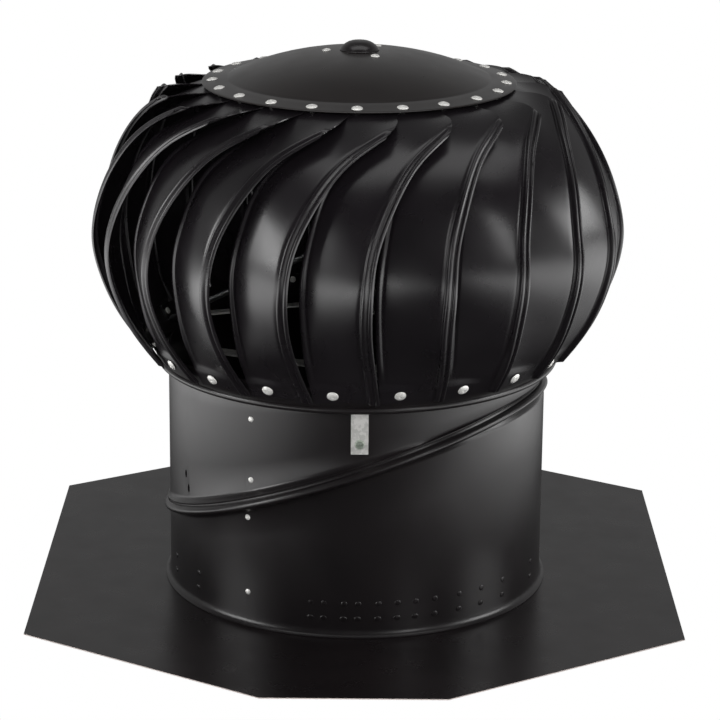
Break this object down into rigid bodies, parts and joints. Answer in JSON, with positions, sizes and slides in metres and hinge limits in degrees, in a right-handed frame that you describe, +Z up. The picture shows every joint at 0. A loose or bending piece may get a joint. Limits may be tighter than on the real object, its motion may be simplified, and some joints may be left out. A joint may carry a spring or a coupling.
{
  "type": "roof turbine ventilator",
  "caption": "Wind-driven roof ventilator: curved louvre blades under a domed cap spin on a braced throat that swivels on a flat flashing to suit the roof pitch.",
  "frame": {"origin": "on the throat's axis, at the underside of the flashing", "axes": "+Z up along the throat's and turbine's axis, +Y up the roof (the long side of the flashing), -Y towards the front, +X to the right"},
  "size_m": [0.5168, 0.586, 0.444],
  "materials": {
    "black_paint": "satin",
    "rivet_aluminium": "satin",
    "galvanised_steel": "dull galvanised",
    "zinc_hardware": "zinc plated",
    "bearing_steel": "ground",
    "spoke_steel": "dull zinc"
  },
  "bodies": {
    "base": {"flashing": "black_paint", "lower_collar": "black_paint", "lower_seam_rivets": "rivet_aluminium"},
    "throat": {"upper_collar": "black_paint", "upper_seam_rivets": "rivet_aluminium", "brace_arm_1": "galvanised_steel", "brace_arm_2": "galvanised_steel", "brace_arm_3": "galvanised_steel", "brace_stay_1": "galvanised_steel", "brace_stay_2": "galvanised_steel", "brace_stay_3": "galvanised_steel", "brace_screws": "zinc_hardware", "brace_nuts": "zinc_hardware", "upper_hub_plate": "galvanised_steel", "lower_hub_plate": "galvanised_steel", "shaft_nuts": "zinc_hardware", "shaft_washers": "zinc_hardware", "shaft": "bearing_steel", "lower_bearing_inner_race": "bearing_steel", "upper_bearing_inner_race": "bearing_steel"},
    "head": {"lower_ring": "black_paint", "dome_cap": "black_paint", "bearing_cap": "black_paint", "lower_bearing_housing": "spoke_steel", "upper_bearing_housing": "spoke_steel", "lower_bearing_outer_race": "bearing_steel", "upper_bearing_outer_race": "bearing_steel", "head_spoke_1": "spoke_steel", "head_spoke_2": "spoke_steel", "head_spoke_3": "spoke_steel", "blade_01": "black_paint", "blade_02": "black_paint", "blade_03": "black_paint", "blade_04": "black_paint", "blade_05": "black_paint", "blade_06": "black_paint", "blade_07": "black_paint", "blade_08": "black_paint", "blade_09": "black_paint", "blade_10": "black_paint", "blade_11": "black_paint", "blade_12": "black_paint", "blade_13": "black_paint", "blade_14": "black_paint", "blade_15": "black_paint", "blade_16": "black_paint", "blade_17": "black_paint", "blade_18": "black_paint", "blade_19": "black_paint", "blade_20": "black_paint", "blade_21": "black_paint", "ring_rivets": "rivet_aluminium", "cap_rivets": "rivet_aluminium", "bearing_cap_rivets": "rivet_aluminium"},
    "lower_cage": {"lower_bearing_ball_cage": "bearing_steel"},
    "upper_cage": {"upper_bearing_ball_cage": "bearing_steel"}
  },
  "joints": [
    {"name": "pitch_swivel", "type": "hinge", "parent": "base", "child": "throat", "pos_m": [-0.0015, -0.0005, 0.116], "axis": [-0.3171, 0.1281, 0.9397], "range_deg": [-180, 180]},
    {"name": "turbine_spin", "type": "hinge", "parent": "throat", "child": "head", "pos_m": [0, 0, 0.3], "axis": [0, 0, 1], "continuous": true},
    {"name": "lower_cage_spin", "type": "hinge", "parent": "throat", "child": "lower_cage", "pos_m": [0, 0, 0.2795], "axis": [0, 0, 1], "continuous": true},
    {"name": "upper_cage_spin", "type": "hinge", "parent": "throat", "child": "upper_cage", "pos_m": [0, 0, 0.4245], "axis": [0, 0, 1], "continuous": true}
  ],
  "couplings": [
    {"joint": "lower_cage_spin", "follows": "turbine_spin", "ratio": 0.62},
    {"joint": "upper_cage_spin", "follows": "turbine_spin", "ratio": 0.62}
  ]
}
